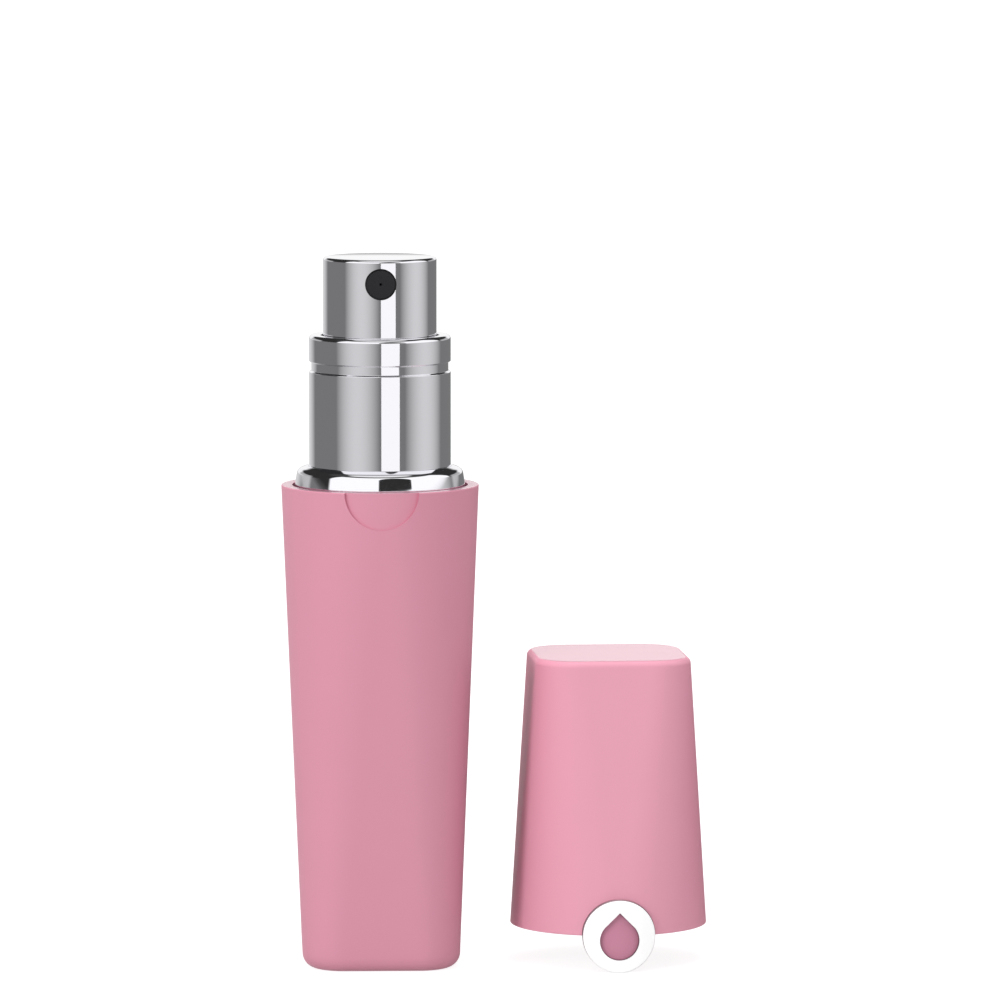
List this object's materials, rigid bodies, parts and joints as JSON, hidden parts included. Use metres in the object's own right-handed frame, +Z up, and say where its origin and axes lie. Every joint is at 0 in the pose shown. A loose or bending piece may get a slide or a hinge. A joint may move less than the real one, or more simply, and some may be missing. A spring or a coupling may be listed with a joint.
{
  "type": "perfume atomiser bottle",
  "caption": "Refillable travel perfume atomiser: tapering plastic shell, chrome collar and spray button, inner tank and pump, fill valve in the base, and its cap standing beside it.",
  "frame": {"origin": "centre of the bottle's base, at the mouth of the fill port", "axes": "+Z up along the bottle, -Y the front, where the nozzle and the badge face; the cap stands at +X"},
  "size_m": [0.0451, 0.0225, 0.0751],
  "materials": {
    "shell_plastic": "satin rose pink",
    "cap_plastic": "satin rose pink",
    "inlay_plastic": "satin rose pink",
    "badge_plastic": "white",
    "chrome_trim": "bright chrome",
    "nozzle_plastic": "black",
    "black_plastic": "moulded black",
    "white_plastic": "natural white",
    "tank_plastic": "clear",
    "tube_plastic": "translucent",
    "gasket_foam": "white elastomer",
    "seal_rubber": "black elastomer",
    "spring_steel": "drawn stainless",
    "ferrule_metal": "plain"
  },
  "bodies": {
    "bottle": {"outer_shell": "shell_plastic", "tank": "tank_plastic", "valve_housing": "black_plastic", "valve_seal": "seal_rubber", "valve_spring": "spring_steel", "valve_retainer": "white_plastic", "neck_gasket": "gasket_foam", "pump_housing": "white_plastic", "dip_tube": "tube_plastic", "return_spring": "spring_steel", "pump_gland": "white_plastic", "stem_seal": "seal_rubber", "crimp_ferrule": "ferrule_metal", "collar_sleeve": "chrome_trim", "shoulder_ring": "chrome_trim"},
    "fill_valve": {"valve_poppet": "white_plastic"},
    "ball": {"check_ball": "spring_steel"},
    "stem": {"pump_stem": "white_plastic"},
    "piston": {"pump_piston": "white_plastic"},
    "spray_head": {"actuator_core": "black_plastic", "actuator_shell": "chrome_trim", "nozzle_insert": "nozzle_plastic"},
    "cap": {"cap_shell": "cap_plastic", "cap_liner": "white_plastic", "badge_disc": "badge_plastic", "badge_inlay": "inlay_plastic"}
  },
  "joints": [
    {"name": "pump_press", "type": "slide", "parent": "bottle", "child": "stem", "axis": [0, 0, -1], "range_m": [0, 0.0036], "stiffness_N_per_m": 2500, "springref_m": -0.003, "deforming": ["return_spring"]},
    {"name": "nozzle_turn", "type": "hinge", "parent": "stem", "child": "spray_head", "pos_m": [0, 0, 0.0648], "axis": [0, 0, 1], "continuous": true},
    {"name": "piston_slip", "type": "slide", "parent": "stem", "child": "piston", "axis": [0, 0, 1], "range_m": [0, 0.0004]},
    {"name": "ball_lift", "type": "slide", "parent": "bottle", "child": "ball", "axis": [0, 0, 1], "range_m": [0, 0.0006]},
    {"name": "fill_valve_open", "type": "slide", "parent": "bottle", "child": "fill_valve", "axis": [0, 0, 1], "range_m": [0, 0.0012], "stiffness_N_per_m": 500, "springref_m": -0.002, "deforming": ["valve_spring"]},
    {"name": "cap_lift", "type": "slide", "parent": "bottle", "child": "cap", "axis": [0, 0, 1], "range_m": [0, 0.08]}
  ]
}
